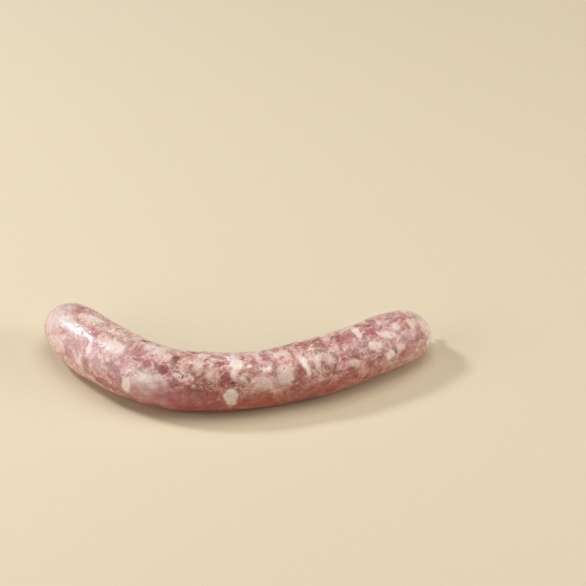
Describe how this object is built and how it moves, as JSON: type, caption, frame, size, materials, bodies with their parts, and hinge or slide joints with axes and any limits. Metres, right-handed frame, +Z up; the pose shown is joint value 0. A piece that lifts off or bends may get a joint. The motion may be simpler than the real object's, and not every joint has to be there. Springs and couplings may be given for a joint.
{
  "type": "raw pork sausage",
  "caption": "Raw coarse-ground pork sausage in a natural casing, softly bent and lying on its side, with rounded ends and a small twisted knot of casing on each.",
  "frame": {"origin": "on the surface that the sausage lies on, under the middle of its box", "axes": "+X along the longest side, towards the thinner end; +Y towards the hollow of the bend; +Z up from the surface"},
  "size_m": [0.1904, 0.0726, 0.029],
  "materials": {
    "casing": "moist natural casing, thin and see-through, tight and glossy over the filling",
    "filling": "raw coarse-ground pork, pink lean and cream fat, with specks of herb and pepper"
  },
  "bodies": {
    "root": {"sausage": "casing"}
  },
  "joints": []
}
